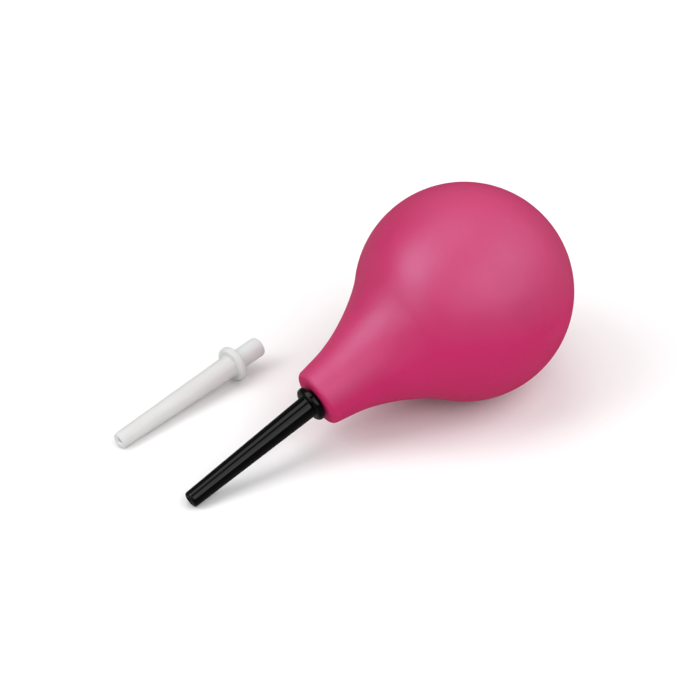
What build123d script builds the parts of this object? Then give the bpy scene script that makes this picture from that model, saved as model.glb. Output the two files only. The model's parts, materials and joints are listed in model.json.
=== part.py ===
from build123d import *
from math import asin, atan2, cos, degrees, hypot, radians, sin
import os

# A squeeze-bulb dust blower lying on a table beside its spare nozzle. Millimetres, +Z up.
# The origin is on the table, under the middle of the whole set. The bulb's neck points
# towards -X and slopes down, because the ball and the nozzle's tip both touch the table.

# Bulb: a ball that flares into a neck. Stations are measured from the ball's centre, along
# the axis that runs out through the neck.
ball_r = 39.0
flare_angle = 44.5  # from the axis to the place where the flare leaves the ball, in degrees
flare_pull = 6.2  # how far the flare's curve keeps to the ball
neck_station = 58.2  # where the flare meets the straight taper of the neck
neck_pull = 12.5  # how far the flare's curve keeps to that taper
neck_taper = 0.173  # radius lost per millimetre along the neck
lip_station = 66.9  # flat end face of the neck
lip_r = 10.6  # radius that the neck would have at that face with a sharp rim
lip_round = 2.0  # rounding of the rim
mouth_round = 0.8  # rounding of the bore's edge in the end face

# Hollow of the bulb, on the same axis
wall = 3.0
hollow_pull = 5.0  # how far the hollow's flare keeps to its round part
hollow_neck_station = 48.0  # where the hollow's neck begins
hollow_neck_pull = 9.0
hollow_neck_r = 11.6  # radius of the hollow there
hollow_taper = 0.3
hollow_end = 55.0  # end wall of the hollow: past it, the neck is solid around the bore
hollow_end_round = 3.0

# Crown: the round patch at the back of the ball that the thumb pushes in
crown_r = 22.0
crown_gap = 0.3  # space all round between the crown and the rest of the wall

# Nozzle: a hollow spigot, a collar with a round rim, and a tube that narrows to its tip.
# Stations are measured from the widest place of the collar towards the tip.
spigot_r = 3.7
spigot_end = 12.8  # length of the spigot, from the collar's widest place
spigot_round = 0.9
collar_r = 6.64
collar_back = 1.0  # thickness of the collar on the spigot's side of its widest place
collar_back_round = 0.9
collar_front = 1.75  # thickness on the tube's side, where the rim slopes away more gently
collar_front_round = 1.5
tube_r = 4.16  # radius of the tube where it leaves the collar
tube_root_round = 0.35
tip_r = 3.05
tip_station = 55.9
tip_round = 1.05
inlet_r = 2.3  # air bore at the spigot's end
outlet_r = 1.1  # air bore at the tip, inside its flared mouth
outlet_round = 0.8

# Where the fitted nozzle stands in the neck
neck_bore_r = 3.75  # 0.05 mm more than the spigot
collar_station = 68.87  # widest place of the collar, whose back stands 1 mm off the end of the neck
swing = 3.5  # the soft neck lets the nozzle stand a little towards -Y, in degrees
swing_back = 5.0  # from the collar's widest place back to the point that it swings about

# Places on the table
ball_x = 41.87
ball_y = -8.0
spare_x = -25.63  # the spare nozzle's collar, on its axis
spare_y = 40.44
spare_turn = 10.6  # the spare nozzle's heading, from -X towards -Y, in degrees

os.makedirs("parts", exist_ok=True)


def heading(turn, slope):
    """Unit vector along -X, turned towards -Y and sloping down by these angles in degrees."""
    level = cos(radians(slope))
    return Vector(-level * cos(radians(turn)), -level * sin(radians(turn)), -sin(radians(slope)))


def section_plane(start, way):
    """Plane of a piece's half section: its X runs along the axis, its Y is the upper side."""
    return Plane(origin=start, x_dir=way, z_dir=way.cross(Vector(0, 0, 1)))


def flare_points(r, angle, pull, station, neck_r, taper, end_pull):
    """Control points of the curve from a ball of radius r to a neck that narrows by taper."""
    rise = radians(angle)
    slant = hypot(1, taper)
    leaves = (r * cos(rise), r * sin(rise))
    follows = (leaves[0] + pull * sin(rise), leaves[1] - pull * cos(rise))
    settles = (station - end_pull / slant, neck_r + end_pull * taper / slant)
    return [leaves, follows, settles, (station, neck_r)]


# The rounding of a rim turns about a circle that is smaller than the rim by the rounding.
tip_edge_r = tip_r - tip_round
tip_edge_station = tip_station - tip_round
collar_edge_r = collar_r - collar_front_round
collar_edge_station = collar_front - collar_front_round

# Slope at which the ball and the tip's rounding both touch the table
tip_reach = collar_station + tip_edge_station
tip_slant = hypot(tip_reach, tip_edge_r)
bulb_slope = degrees(asin((ball_r - tip_round) / tip_slant) - atan2(tip_edge_r, tip_reach))

# Slope at which the rims of the spare nozzle's collar and tip both touch the table
rim_drop = collar_edge_r - tip_edge_r
rim_reach = tip_edge_station - collar_edge_station
rim_slant = hypot(rim_reach, rim_drop)
spare_slope = degrees(asin((collar_front_round - tip_round) / rim_slant) + atan2(rim_drop, rim_reach))

bulb_way = heading(0, bulb_slope)
nozzle_way = heading(swing, bulb_slope)
spare_way = heading(spare_turn, spare_slope)

ball_centre = Vector(ball_x, ball_y, ball_r)
collar_centre = ball_centre + bulb_way * (collar_station - swing_back) + nozzle_way * swing_back
mouth_centre = ball_centre + bulb_way * lip_station
rim_height = collar_edge_r * cos(radians(spare_slope)) + collar_front_round
spare_centre = Vector(spare_x, spare_y, rim_height + collar_edge_station * sin(radians(spare_slope)))

bulb_axis = Axis(ball_centre, bulb_way)
bulb_plane = section_plane(ball_centre, bulb_way)

# Angles, from the neck's axis, at which the edge of the crown's opening meets the two
# surfaces of the wall, and the same for the crown's own edge
hollow_r = ball_r - wall
opening_r = crown_r + crown_gap
opening_outside = 180 - degrees(asin(opening_r / ball_r))
opening_inside = 180 - degrees(asin(opening_r / hollow_r))
crown_outside = 180 - degrees(asin(crown_r / ball_r))
crown_inside = 180 - degrees(asin(crown_r / hollow_r))

# Bulb: the hollow wall from the crown's opening round the ball and the flare to the end of
# the neck, with a bore for the nozzle's spigot
neck_r = lip_r + neck_taper * (lip_station - neck_station)
hollow_end_r = hollow_neck_r - hollow_taper * (hollow_end - hollow_neck_station)
outer_flare = flare_points(
    ball_r, flare_angle, flare_pull, neck_station, neck_r, neck_taper, neck_pull
)
inner_flare = flare_points(
    hollow_r, flare_angle, hollow_pull, hollow_neck_station, hollow_neck_r, hollow_taper, hollow_neck_pull
)

with BuildPart() as bulb:
    with BuildSketch(bulb_plane):
        with BuildLine():
            outside = CenterArc((0, 0), ball_r, flare_angle, opening_outside - flare_angle)
            Bezier(outer_flare)
            FilletPolyline(
                outer_flare[-1],
                (lip_station, lip_r),
                (lip_station, 0),
                (hollow_end, 0),
                (hollow_end, hollow_end_r),
                inner_flare[-1],
                radius=[lip_round, 0, 0, hollow_end_round],
            )
            Bezier(inner_flare)
            inside = CenterArc((0, 0), hollow_r, flare_angle, opening_inside - flare_angle)
            Line(outside @ 1, inside @ 1)
        make_face()
    revolve(axis=bulb_axis)
    with BuildSketch(Plane(origin=collar_centre, z_dir=-nozzle_way)):
        Circle(neck_bore_r)
    extrude(amount=collar_station - hollow_end + hollow_end_round, mode=Mode.SUBTRACT)
    fillet(bulb.edges().sort_by_distance(mouth_centre)[0], mouth_round)
bulb.part.label = "bulb"
export_step(bulb.part, "parts/bulb.step")

# Crown: the patch of the ball's wall that fills the opening
with BuildPart() as bulb_crown:
    with BuildSketch(bulb_plane):
        with BuildLine():
            outside = CenterArc((0, 0), ball_r, crown_outside, 180 - crown_outside)
            inside = CenterArc((0, 0), hollow_r, crown_inside, 180 - crown_inside)
            Line(outside @ 0, inside @ 0)
            Line(outside @ 1, inside @ 1)
        make_face()
    revolve(axis=bulb_axis)
bulb_crown.part.label = "bulb_crown"
export_step(bulb_crown.part, "parts/bulb_crown.step")

# The two nozzles have one shape: one is pushed into the neck, and the other lies on its collar
# and its tip. The half section runs from the spigot's end round to the tapered air bore.
nozzle_corners = [
    ((-spigot_end, inlet_r), 0),
    ((-spigot_end, spigot_r), spigot_round),
    ((-collar_back, spigot_r), 0),
    ((-collar_back, collar_r), collar_back_round),
    ((collar_front, collar_r), collar_front_round),
    ((collar_front, tube_r), tube_root_round),
    ((tip_station, tip_r), tip_round),
    ((tip_station, outlet_r), outlet_round),
]
nozzle_places = {"nozzle": (collar_centre, nozzle_way), "spare_nozzle": (spare_centre, spare_way)}

for name, (start, way) in nozzle_places.items():
    with BuildPart() as nozzle:
        with BuildSketch(section_plane(start, way)):
            with BuildLine():
                FilletPolyline(
                    [point for point, rounding in nozzle_corners],
                    radius=[rounding for point, rounding in nozzle_corners],
                    close=True,
                )
            make_face()
        revolve(axis=Axis(start, way))
    nozzle.part.label = name
    export_step(nozzle.part, f"parts/{name}.step")
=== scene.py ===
import json
from math import atan2, ceil, cos, hypot, pi, radians, sin

import bpy
from mathutils import Matrix, Vector


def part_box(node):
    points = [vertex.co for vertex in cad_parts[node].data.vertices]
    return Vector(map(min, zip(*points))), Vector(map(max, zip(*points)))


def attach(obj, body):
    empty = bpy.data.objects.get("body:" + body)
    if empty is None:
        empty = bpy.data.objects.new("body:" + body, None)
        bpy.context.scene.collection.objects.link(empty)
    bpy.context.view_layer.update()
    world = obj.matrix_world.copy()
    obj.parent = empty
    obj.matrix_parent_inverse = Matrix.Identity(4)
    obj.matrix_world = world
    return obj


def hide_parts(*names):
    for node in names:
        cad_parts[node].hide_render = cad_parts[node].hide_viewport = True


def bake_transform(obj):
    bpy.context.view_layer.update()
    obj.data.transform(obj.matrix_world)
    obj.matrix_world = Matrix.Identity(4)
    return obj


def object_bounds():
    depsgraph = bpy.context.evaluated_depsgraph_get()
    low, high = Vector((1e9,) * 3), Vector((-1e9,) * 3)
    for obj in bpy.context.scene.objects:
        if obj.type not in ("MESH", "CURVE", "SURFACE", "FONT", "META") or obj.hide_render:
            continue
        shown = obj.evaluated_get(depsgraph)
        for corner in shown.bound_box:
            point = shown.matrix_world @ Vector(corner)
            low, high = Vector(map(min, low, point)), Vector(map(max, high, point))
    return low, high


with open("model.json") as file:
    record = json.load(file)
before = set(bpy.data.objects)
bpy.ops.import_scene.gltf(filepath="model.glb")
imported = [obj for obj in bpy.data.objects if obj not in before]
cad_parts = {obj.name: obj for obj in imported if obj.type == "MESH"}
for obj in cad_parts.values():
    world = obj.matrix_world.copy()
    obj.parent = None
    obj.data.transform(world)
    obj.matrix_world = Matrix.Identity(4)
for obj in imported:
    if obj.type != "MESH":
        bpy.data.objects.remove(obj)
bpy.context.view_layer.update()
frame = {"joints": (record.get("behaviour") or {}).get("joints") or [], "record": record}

# The looks of a squeeze-bulb dust blower and its spare nozzle. The scene is in metres, in the
# frame of the CAD part: the set lies on the table at z = 0, and the bulb's neck points towards
# -X. Sizes are given in millimetres, and MM turns them into metres.

MM = 0.001
joints = {joint["name"]: joint for joint in frame["joints"]}
mounts = {mount["name"]: mount for mount in frame["record"]["mounts"]}

# ---------------------------------------------------------------- sizes, in millimetres

# Bulb. Stations are measured from the ball's centre, along the axis out through the neck.
FLARE_ANGLE = 44.5  # from the axis to the place where the flare leaves the ball, in degrees
FLARE_PULL = 6.2  # how far the flare's curve keeps to the ball
NECK_STATION = 58.2  # where the flare meets the neck's straight taper
NECK_PULL = 12.5  # how far the flare's curve keeps to that taper
NECK_TAPER = 0.173  # radius lost per millimetre along the neck
LIP_STATION = 66.9  # flat end face of the neck
LIP_R = 10.6  # the neck's radius there, before its rim is rounded
LIP_ROUND = 2.0  # rounding of the rim
MOUTH_ROUND = 0.8  # rounding of the bore's edge in the end face
BORE_R = 3.75  # 0.05 mm more than the spigot

# Hollow of the bulb, on the same axis
WALL = 3.0
HOLLOW_PULL = 5.0  # how far the hollow's flare keeps to its round part
HOLLOW_NECK_STATION = 48.0  # where the hollow's neck begins
HOLLOW_NECK_PULL = 9.0  # how far the flare's curve keeps to the neck's taper
HOLLOW_NECK_R = 11.6  # radius of the hollow there
HOLLOW_TAPER = 0.3  # radius lost per millimetre
HOLLOW_END = 55.0  # end wall of the hollow: past it, the neck is solid around the bore
HOLLOW_END_ROUND = 3.0

# Nozzle. Stations are measured from the widest place of the collar towards the tip.
SPIGOT_R = 3.7
SPIGOT_END = 12.8  # length of the spigot, from the collar's widest place
SPIGOT_ROUND = 0.9
SPIGOT_ROOT_ROUND = 0.2
COLLAR_R = 6.64
COLLAR_BACK = 1.0  # thickness of the collar on the spigot's side of its widest place
COLLAR_BACK_ROUND = 0.9
COLLAR_FRONT = 1.75  # thickness on the tube's side
COLLAR_FRONT_ROUND = 1.5
TUBE_R = 4.16  # radius of the tube where it leaves the collar
TUBE_ROOT_ROUND = 0.35
TIP_R = 3.05
TIP_STATION = 55.9
TIP_ROUND = 1.05
INLET_R = 2.3  # air bore at the spigot's end
INLET_ROUND = 0.25
OUTLET_R = 1.1  # air bore at the tip, inside its flared mouth
OUTLET_ROUND = 0.8

# Meshes: points round a ring, and steps along a profile, which are short at its rounded corners
SKIN_COUNT = 160
SKIN_STEP = 0.9
RIM_STEP = 0.12
HOLLOW_RIM_STEP = 0.4
NOZZLE_COUNT = 96
NOZZLE_STEP = 1.5
NOZZLE_RIM_STEP = 0.08

# ---------------------------------------------------------------- places, from the frame


def along(name):
    """Direction of a joint's axis."""
    return Vector(joints[name]["axis"]).normalized()


def ball():
    """Centre and radius of the bulb's ball: it stands on the table, and the crown ends it in +X."""
    low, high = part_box("bulb")
    radius = (high.y - low.y) / 2
    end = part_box("bulb_crown")[1].x
    return Vector((end - radius, (low.y + high.y) / 2, low.z + radius)), radius


BALL, BALL_R = ball()
BULB_WAY = along("crown_press")
NOZZLE_WAY = along("nozzle_pull")
SPARE_WAY = -Vector(mounts["spare_spigot"]["axis"]).normalized()
COLLAR = Vector(mounts["air_outlet"]["pos_m"]) - NOZZLE_WAY * TIP_STATION * MM

# The mount stands halfway along the straight part of the spare nozzle's spigot.
SPARE_COLLAR = Vector(mounts["spare_spigot"]["pos_m"]) + SPARE_WAY * MM * (
    COLLAR_BACK + mounts["spare_spigot"]["dims"]["length_mm"] / 2
)

# ---------------------------------------------------------------- profiles


def arc(centre, radius, start, end, step):
    """Points on a circle from one angle to another, in radians, about step apart."""
    count = max(2, ceil(abs(end - start) * radius / step))
    angles = [start + (end - start) * i / count for i in range(count + 1)]
    return [(centre[0] + radius * cos(a), centre[1] + radius * sin(a)) for a in angles]


def bezier(points, step):
    """Points on the cubic curve of four control points, about step apart."""
    span = sum(hypot(b[0] - a[0], b[1] - a[1]) for a, b in zip(points, points[1:]))
    count = ceil(span / step)
    curve = []
    for i in range(count + 1):
        t = i / count
        weights = ((1 - t) ** 3, 3 * t * (1 - t) ** 2, 3 * t * t * (1 - t), t**3)
        curve.append(tuple(sum(w * p[k] for w, p in zip(weights, points)) for k in (0, 1)))
    return curve


def rounded(before, corner, after, radius, step):
    """Points of the arc that rounds a corner between its two neighbours."""
    corner = Vector(corner)
    back = (Vector(before) - corner).normalized()
    ahead = (Vector(after) - corner).normalized()
    half = back.angle(ahead) / 2
    centre = corner + (back + ahead).normalized() * radius / sin(half)
    first = corner + back * radius * cos(half) / sin(half) - centre
    last = corner + ahead * radius * cos(half) / sin(half) - centre
    start = atan2(first.y, first.x)
    turn = (atan2(last.y, last.x) - start + pi) % (2 * pi) - pi
    return arc(centre, radius, start, start + turn, step)


def spaced(points, longest):
    """The points with more between them, so that no side is longer than this."""
    filled = [points[0]]
    for a, b in zip(points, points[1:]):
        count = max(1, ceil(hypot(b[0] - a[0], b[1] - a[1]) / longest))
        for i in range(1, count + 1):
            filled.append(tuple(p + (q - p) * i / count for p, q in zip(a, b)))
    return filled


# ---------------------------------------------------------------- lofted rings


def sides(way):
    """Two unit vectors at right angles to a direction and to each other: level, and upwards."""
    level = way.cross(Vector((0, 0, 1))).normalized()
    return level, level.cross(way)


def ring(centre, way, radius, count):
    """A circle of points about a centre."""
    level, up = sides(way)
    turns = [2 * pi * i / count for i in range(count)]
    return [centre + (level * cos(t) + up * sin(t)) * radius for t in turns]


def between(first, last, shares):
    """Rings at these shares of the way from one ring to another."""
    return [[a.lerp(b, share) for a, b in zip(first, last)] for share in shares]


def loft(name, rings, origin, way, closed=False, first_pole=None, last_pole=None):
    """Mesh through rings of equal count, closed into a torus or capped with a point at each end.
    Its attribute "place" holds each point in millimetres from origin: along way, level, and up.
    Its attribute "facing_up" runs from 1 where it faces the sky to -1 where it faces the table."""
    count = len(rings[0])
    points = [p for r in rings for p in r]
    faces = []
    for k in range(len(rings) if closed else len(rings) - 1):
        a, b = k * count, (k + 1) % len(rings) * count
        faces += [(a + i, b + i, b + (i + 1) % count, a + (i + 1) % count) for i in range(count)]
    if first_pole is not None:
        points.append(first_pole)
        pole = len(points) - 1
        faces += [(pole, i, (i + 1) % count) for i in range(count)]
    if last_pole is not None:
        points.append(last_pole)
        pole = len(points) - 1
        base = (len(rings) - 1) * count
        faces += [(pole, base + (i + 1) % count, base + i) for i in range(count)]
    mesh = bpy.data.meshes.new(name)
    mesh.from_pydata(points, [], faces)
    mesh.polygons.foreach_set("use_smooth", [True] * len(mesh.polygons))
    mesh.validate()
    level, up = sides(way)
    place = mesh.attributes.new("place", "FLOAT_VECTOR", "POINT")
    for item, point in zip(place.data, points):
        out = (point - origin) / MM
        item.vector = (out.dot(way), out.dot(level), out.dot(up))
    facing = mesh.attributes.new("facing_up", "FLOAT", "POINT")
    facing.data.foreach_set("value", [vertex.normal.z for vertex in mesh.vertices])
    piece = bpy.data.objects.new(name, mesh)
    bpy.context.scene.collection.objects.link(piece)
    return piece


# ---------------------------------------------------------------- bulb


def flare(radius, pull, station, neck_r, taper, end_pull):
    """Points of the curve from a ball to a neck that narrows by taper."""
    rise, slant = radians(FLARE_ANGLE), hypot(1, taper)
    leaves = (radius * cos(rise), radius * sin(rise))
    follows = (leaves[0] + pull * sin(rise), leaves[1] - pull * cos(rise))
    settles = (station - end_pull / slant, neck_r + end_pull * taper / slant)
    return bezier([leaves, follows, settles, (station, neck_r)], SKIN_STEP)


def ball_arc(radius):
    """Points of the ball from its back to the flare, without the pole."""
    return arc((0, 0), radius, pi, radians(FLARE_ANGLE), SKIN_STEP)[1:]


def outside_profile():
    """Half section of the outside, from the back of the ball to the neck's end face: its points
    are (station, radius), as they are in the other profiles."""
    radius = BALL_R / MM
    neck_r = LIP_R + NECK_TAPER * (LIP_STATION - NECK_STATION)
    neck = flare(radius, FLARE_PULL, NECK_STATION, neck_r, NECK_TAPER, NECK_PULL)
    rim = rounded(neck[-1], (LIP_STATION, LIP_R), (LIP_STATION, 0), LIP_ROUND, RIM_STEP)
    return spaced(ball_arc(radius) + neck[1:] + rim, SKIN_STEP)


def hollow_profile():
    """Half section of the hollow, from its back to its end wall."""
    radius = BALL_R / MM - WALL
    end_r = HOLLOW_NECK_R - HOLLOW_TAPER * (HOLLOW_END - HOLLOW_NECK_STATION)
    end = (HOLLOW_END, end_r)
    neck = flare(
        radius, HOLLOW_PULL, HOLLOW_NECK_STATION, HOLLOW_NECK_R, HOLLOW_TAPER, HOLLOW_NECK_PULL
    )
    rim = rounded(neck[-1], end, (HOLLOW_END, 0), HOLLOW_END_ROUND, HOLLOW_RIM_STEP)
    return spaced(ball_arc(radius) + neck[1:] + rim, SKIN_STEP)


def axis_ring(station, radius):
    """Ring about the bulb's axis."""
    return ring(BALL + BULB_WAY * station * MM, BULB_WAY, radius * MM, SKIN_COUNT)


def bore_ring(station, radius):
    """Ring about the bore's canted axis, in the plane across the bulb's axis at this station."""
    on_axis = BALL + BULB_WAY * station * MM
    reach = (on_axis - COLLAR).dot(BULB_WAY) / NOZZLE_WAY.dot(BULB_WAY)
    return ring(COLLAR + NOZZLE_WAY * reach, BULB_WAY, radius * MM, SKIN_COUNT)


def bulb_skin():
    """The bulb as one closed skin: outside, rim, end face, bore, and the hollow within."""
    outside = [axis_ring(*point) for point in outside_profile()]
    hollow = [axis_ring(*point) for point in reversed(hollow_profile())]
    bore_start = (LIP_STATION, BORE_R)
    bore_end = (HOLLOW_END, BORE_R)
    mouth = rounded((LIP_STATION, 2 * BORE_R), bore_start, bore_end, MOUTH_ROUND, RIM_STEP)
    bore = [bore_ring(*point) for point in spaced(mouth + [bore_end], SKIN_STEP)]
    end_face = between(outside[-1], bore[0], (0.2, 0.4, 0.6, 0.8))
    end_wall = between(bore[-1], hollow[0], (0.33, 0.67))
    rings = outside + end_face + bore + end_wall + hollow
    back = BALL - BULB_WAY * BALL_R
    inner_back = back + BULB_WAY * WALL * MM
    return loft("bulb_skin", rings, BALL, BULB_WAY, first_pole=back, last_pole=inner_back)


# ---------------------------------------------------------------- nozzles


def nozzle_profile():
    """Half section of a nozzle, as a closed loop of points."""
    corners = [
        ((-SPIGOT_END, INLET_R), INLET_ROUND),
        ((-SPIGOT_END, SPIGOT_R), SPIGOT_ROUND),
        ((-COLLAR_BACK, SPIGOT_R), SPIGOT_ROOT_ROUND),
        ((-COLLAR_BACK, COLLAR_R), COLLAR_BACK_ROUND),
        ((COLLAR_FRONT, COLLAR_R), COLLAR_FRONT_ROUND),
        ((COLLAR_FRONT, TUBE_R), TUBE_ROOT_ROUND),
        ((TIP_STATION, TIP_R), TIP_ROUND),
        ((TIP_STATION, OUTLET_R), OUTLET_ROUND),
    ]
    loop = []
    for i, (corner, radius) in enumerate(corners):
        before, after = corners[i - 1][0], corners[(i + 1) % len(corners)][0]
        loop += rounded(before, corner, after, radius, NOZZLE_RIM_STEP)
    return spaced(loop + [loop[0]], NOZZLE_STEP)[:-1]


def nozzle(name, collar, way):
    """A nozzle as one closed skin, with its air bore."""
    rings = [
        ring(collar + way * station * MM, way, radius * MM, NOZZLE_COUNT)
        for station, radius in nozzle_profile()
    ]
    return loft(name, rings, collar, way, closed=True)


# ---------------------------------------------------------------- pieces

skin = bulb_skin()
fitted = nozzle("fitted_nozzle_black", COLLAR, NOZZLE_WAY)
spare = nozzle("loose_nozzle_white", SPARE_COLLAR, SPARE_WAY)

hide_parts("bulb", "bulb_crown")
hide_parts("nozzle")
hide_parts("spare_nozzle")
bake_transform(skin)
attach(fitted, "fitted_nozzle")
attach(spare, "loose_nozzle")

# ---------------------------------------------------------------- materials


def set_range(map_range, low, high, to_low, to_high):
    """Sets a Map Range node's two ranges."""
    numbers = {"From Min": low, "From Max": high, "To Min": to_low, "To Max": to_high}
    for socket, number in numbers.items():
        map_range.inputs[socket].default_value = number


class Surface:
    """A procedural material whose patterns are fixed to a piece by its attribute "place"."""

    def __init__(self, name, **constants):
        self.material = bpy.data.materials.new(name)
        self.material.use_nodes = True
        self.tree = self.material.node_tree
        self.shader = self.tree.nodes["Principled BSDF"]
        for socket, value in constants.items():
            self.shader.inputs[socket.replace("_", " ")].default_value = value
        self.place = self.attribute("place", "Vector")

    def node(self, kind, **settings):
        """A new node with these settings."""
        made = self.tree.nodes.new(kind)
        for setting, value in settings.items():
            setattr(made, setting, value)
        return made

    def link(self, source, target):
        self.tree.links.new(source, target)

    def attribute(self, name, output):
        """What the mesh holds at each point under this name."""
        return self.node("ShaderNodeAttribute", attribute_name=name).outputs[output]

    def stretched(self, stretch):
        """The place with each of its three directions scaled."""
        scaled = self.node("ShaderNodeVectorMath", operation="MULTIPLY")
        self.link(self.place, scaled.inputs[0])
        scaled.inputs[1].default_value = stretch
        return scaled.outputs["Vector"]

    def station(self):
        """Millimetres along the piece's axis."""
        split = self.node("ShaderNodeSeparateXYZ")
        self.link(self.place, split.inputs[0])
        return split.outputs["X"]

    def off_axis(self):
        """Millimetres from the piece's axis."""
        length = self.node("ShaderNodeVectorMath", operation="LENGTH")
        self.link(self.stretched((0, 1, 1)), length.inputs[0])
        return length.outputs["Value"]

    def noise(self, grain, detail, stretch=(1, 1, 1), fineness=0.5):
        """Noise whose lumps are about grain millimetres across."""
        made = self.node("ShaderNodeTexNoise")
        made.inputs["Scale"].default_value = 1 / grain
        made.inputs["Detail"].default_value = detail
        made.inputs["Roughness"].default_value = fineness
        self.link(self.stretched(stretch), made.inputs["Vector"])
        return made.outputs["Fac"]

    def ranged(self, value, low, high, to_low, to_high):
        """The value, with low..high mapped smoothly to to_low..to_high."""
        made = self.node("ShaderNodeMapRange", interpolation_type="SMOOTHSTEP")
        set_range(made, low, high, to_low, to_high)
        self.link(value, made.inputs["Value"])
        return made.outputs["Result"]

    def math(self, operation, first, second):
        """A Math node's result from two values."""
        made = self.node("ShaderNodeMath", operation=operation)
        self.link(first, made.inputs[0])
        self.link(second, made.inputs[1])
        return made.outputs["Value"]

    def total(self, first, *others):
        """The sum of some values."""
        for other in others:
            first = self.math("ADD", first, other)
        return first

    def blend(self, factor, first, second):
        """A colour between two, by a factor from 0 to 1. Each is a colour or another blend."""
        made = self.node("ShaderNodeMix", data_type="RGBA")
        sockets = {socket.identifier: socket for socket in [*made.inputs, *made.outputs]}
        self.link(factor, sockets["Factor_Float"])
        for colour, socket in ((first, sockets["A_Color"]), (second, sockets["B_Color"])):
            if isinstance(colour, tuple):
                socket.default_value = (*colour, 1)
            else:
                self.link(colour, socket)
        return sockets["Result_Color"]

    def bump(self, height, depth, under=None):
        """A bump depth millimetres deep, on top of another."""
        made = self.node("ShaderNodeBump")
        made.inputs["Strength"].default_value = 1
        made.inputs["Distance"].default_value = depth * MM
        self.link(height, made.inputs["Height"])
        if under is not None:
            self.link(under, made.inputs["Normal"])
        return made.outputs["Normal"]

    def finish(self, piece, colour, roughness, normal):
        """Gives the shader its colour, roughness and normal, and the piece its material."""
        self.link(colour, self.shader.inputs["Base Color"])
        self.link(roughness, self.shader.inputs["Roughness"])
        self.link(normal, self.shader.inputs["Normal"])
        piece.data.materials.append(self.material)


def rubber(piece):
    """Satin magenta rubber: a fine grain and faint clouds and specks of colour. The ball is more
    matt than the flare, the neck is rubbed by handling, and there is less gloss underneath and
    wherever the surface is seen edge-on."""
    surface = Surface("bulb_rubber", Specular_Tint=(0.4, 0.75, 0.95, 1))
    cloud = surface.ranged(surface.noise(26, 3), 0.35, 0.65, 0, 1)
    speck = surface.ranged(surface.noise(0.9, 4), 0.3, 0.7, 0, 0.35)
    clouded = surface.blend(cloud, (0.485, 0.0185, 0.106), (0.51, 0.021, 0.115))
    colour = surface.blend(speck, clouded, (0.525, 0.0235, 0.122))
    rough = surface.ranged(surface.noise(7, 4), 0.3, 0.7, 0.36, 0.41)
    matt_ball = surface.ranged(surface.station(), 0, 26, 0.12, 0)
    handled_neck = surface.ranged(surface.station(), 33, 52, 0, 0.13)
    faces_up = surface.ranged(surface.attribute("facing_up", "Fac"), 0.05, 0.52, 0.1, 0.95)
    edge_on = surface.ranged(surface.node("ShaderNodeLayerWeight").outputs["Facing"], 0.6, 1, 1, 0.1)
    gloss = surface.math("MULTIPLY", faces_up, edge_on)
    surface.link(gloss, surface.shader.inputs["Specular IOR Level"])
    grain = surface.bump(surface.noise(0.35, 2), 0.012, surface.bump(surface.noise(3.2, 2), 0.02))
    surface.finish(piece, colour, surface.total(rough, matt_ball, handled_neck), grain)


def plastic(piece, name, dark, light, spigot_tint, painted_bore_light, rough, polish, **constants):
    """Moulded plastic: faint flow marks along the tube, fine scuffs, and a slight orange peel. The
    spigot is rubbed and has its own colour, on the white nozzle a painted cool tint that cancels
    the pink light the bulb casts on it. On the white nozzle the narrow end of the bore is paler:
    painted light inside the hole."""
    surface = Surface(name, **constants)
    flow = surface.ranged(surface.noise(2.2, 3, (0.12, 1, 1)), 0.35, 0.65, 0, 1)
    on_spigot = surface.ranged(surface.station(), -4, 3, 1, 0)
    # Painted light: near the axis the bore gets its own colour, on the white nozzle a paler one, so
    # the hole looks lit inside.
    in_bore = surface.ranged(surface.off_axis(), 1.15, 1.6, 1, 0)
    # The spigot gets its own colour: on the white nozzle a painted cool tint that cancels the pink
    # light the bulb casts on it.
    outside = surface.blend(on_spigot, surface.blend(flow, dark, light), spigot_tint)
    colour = surface.blend(in_bore, outside, painted_bore_light)
    scuff = surface.ranged(surface.noise(0.5, 5, (0.3, 1, 1), 0.7), 0.56, 0.75, 0, polish)
    rubbed_spigot = surface.ranged(surface.station(), -1.5, -0.5, 0.06, 0)
    base = surface.ranged(surface.noise(4, 3), 0.3, 0.7, rough, rough + polish)
    peel = surface.bump(surface.noise(0.6, 1), 0.0012, surface.bump(surface.noise(3.5, 1), 0.004))
    surface.finish(piece, colour, surface.total(base, rubbed_spigot, scuff), peel)


rubber(skin)
plastic(
    fitted,
    "black_plastic",
    dark=(0.0007, 0.0007, 0.0008),
    light=(0.0012, 0.0012, 0.0013),
    spigot_tint=(0.0013, 0.0012, 0.0012),
    painted_bore_light=(0.0007, 0.0007, 0.0007),
    rough=0.055,
    polish=0.025,
    Specular_IOR_Level=0.21,
)
plastic(
    spare,
    "white_plastic",
    dark=(0.615, 0.615, 0.61),
    light=(0.64, 0.64, 0.635),
    # Painted counter-light: a faint cool tint on the spigot that cancels the pink light the bulb
    # casts on it.
    spigot_tint=(0.64, 0.665, 0.66),
    # Painted light: a paler white inside the narrow bore, so the tip's hole looks lit.
    painted_bore_light=(0.85, 0.85, 0.85),
    rough=0.3,
    polish=0.06,
    Specular_IOR_Level=0.25,
)

# ---------------------------------------------------------------- camera

# Angles are in degrees and distances in metres. The camera stands off from the ball's centre,
# and aims beside it.
CAMERA_TURN = -35.69
CAMERA_RISE = 36.77
CAMERA_ROLL = -1.226
CAMERA_DISTANCE = 1.4039
AIM_LEFT = 0.04257
AIM_DOWN = 0.01862
LENS = 207.2  # focal length and sensor width are in millimetres
SENSOR = 36


def look(turn, rise):
    """Unit vectors of a viewer who stands off at this heading: towards the viewer, right, up."""
    turn, rise = radians(turn), radians(rise)
    back = Vector((sin(turn) * cos(rise), -cos(turn) * cos(rise), sin(rise)))
    right = Vector((cos(turn), sin(turn), 0))
    return back, right, back.cross(right)


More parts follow.
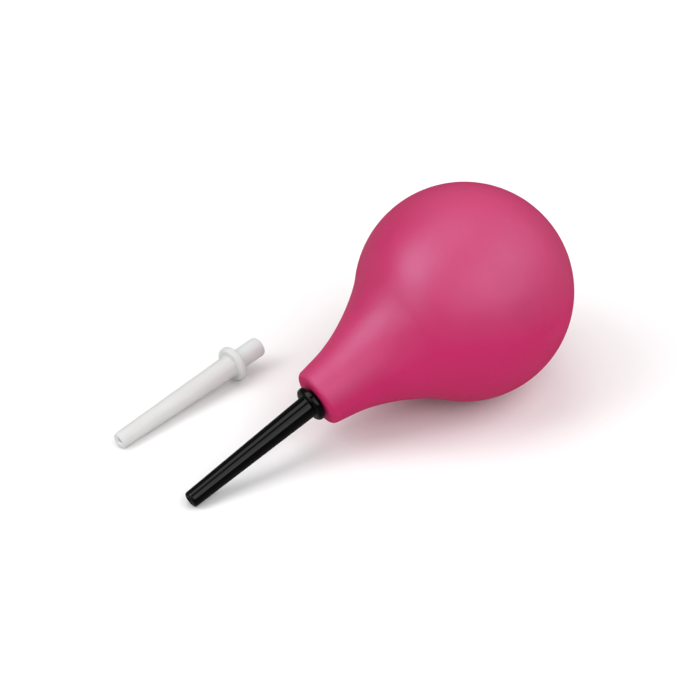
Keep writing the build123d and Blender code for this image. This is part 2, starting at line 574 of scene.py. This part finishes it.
def add_camera():
    """A long lens that looks down on the set from the neck's side."""
    data = bpy.data.cameras.new("camera")
    data.lens = LENS
    data.sensor_width = SENSOR
    data.clip_start = 0.05
    data.clip_end = 20
    camera = bpy.data.objects.new("camera", data)
    bpy.context.scene.collection.objects.link(camera)
    back, right, up = look(CAMERA_TURN, CAMERA_RISE)
    aim = BALL - right * AIM_LEFT - up * AIM_DOWN
    camera.location = BALL + back * CAMERA_DISTANCE
    turn = (aim - camera.location).to_track_quat("-Z", "Y").to_matrix().to_4x4()
    roll = Matrix.Rotation(radians(CAMERA_ROLL), 4, "Z")
    camera.matrix_world = Matrix.Translation(camera.location) @ turn @ roll
    bpy.context.scene.camera = camera


add_camera()

# ---------------------------------------------------------------- floor and lights

FLOOR_REACH = 6.0  # metres from the middle to each side
ROOM_FADE = (-0.35, -0.15)  # heights on a unit sphere between which the room's light changes


def add_floor():
    """A plain pale table, large enough to fill every view."""
    mesh = bpy.data.meshes.new("floor")
    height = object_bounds()[0].z
    signs = ((-1, -1), (1, -1), (1, 1), (-1, 1))
    corners = [(x * FLOOR_REACH, y * FLOOR_REACH, height) for x, y in signs]
    mesh.from_pydata(corners, [], [(0, 1, 2, 3)])
    floor = bpy.data.objects.new("floor", mesh)
    bpy.context.scene.collection.objects.link(floor)
    material = bpy.data.materials.new("floor")
    material.use_nodes = True
    paint = material.node_tree.nodes["Principled BSDF"]
    paint.inputs["Base Color"].default_value = (0.9, 0.9, 0.9, 1)
    paint.inputs["Roughness"].default_value = 0.9
    paint.inputs["Specular IOR Level"].default_value = 0
    mesh.materials.append(material)
    floor.visible_glossy = False


def add_world(above, below):
    """A white room whose light has one strength above the horizon and another well below it."""
    world = bpy.data.worlds.new("room")
    world.use_nodes = True
    tree = world.node_tree
    background = tree.nodes["Background"]
    background.inputs["Color"].default_value = (1, 1, 1, 1)
    direction = tree.nodes.new("ShaderNodeTexCoord")
    split = tree.nodes.new("ShaderNodeSeparateXYZ")
    fade = tree.nodes.new("ShaderNodeMapRange")
    fade.interpolation_type = "SMOOTHSTEP"
    set_range(fade, *ROOM_FADE, below, above)
    tree.links.new(direction.outputs["Generated"], split.inputs[0])
    tree.links.new(split.outputs["Z"], fade.inputs["Value"])
    tree.links.new(fade.outputs["Result"], background.inputs["Strength"])
    bpy.context.scene.world = world


def add_light(name, turn, rise, distance, size, power):
    """A softbox that faces the ball. turn is from the camera's heading, towards its right."""
    data = bpy.data.lights.new(name, "AREA")
    data.shape = "RECTANGLE"
    data.size, data.size_y = size
    data.energy = power
    light = bpy.data.objects.new(name, data)
    light.visible_camera = False
    bpy.context.scene.collection.objects.link(light)
    out = look(CAMERA_TURN + turn, rise)[0]
    light.location = BALL + out * distance
    light.rotation_mode = "QUATERNION"
    light.rotation_quaternion = out.to_track_quat("Z", "Y")


add_floor()
add_world(above=0.13, below=0.2)

# Headings and heights are in degrees, distances and sizes in metres, and powers in watts.
add_light("right_low", 54, 34, 1.3, (1.15, 0.6), 5.1)
add_light("right_high", 56, 60, 1.3, (1.15, 0.6), 3.6)
add_light("left", -80, 48, 1.3, (0.9, 0.9), 7.7)
add_light("left_low", -62, 17, 1.3, (1.0, 1.0), 3.8)
add_light("overhead", -150, 76, 1.3, (0.8, 0.8), 4.2)
add_light("right_back", 112, 38, 1.3, (1.1, 1.1), 4.8)
add_light("front", 0, 38, 1.6, (1.2, 1.2), 5.2)
add_light("back", 180, 40, 1.3, (1.2, 1.2), 2.0)
bpy.context.scene.view_settings.view_transform = "Standard"
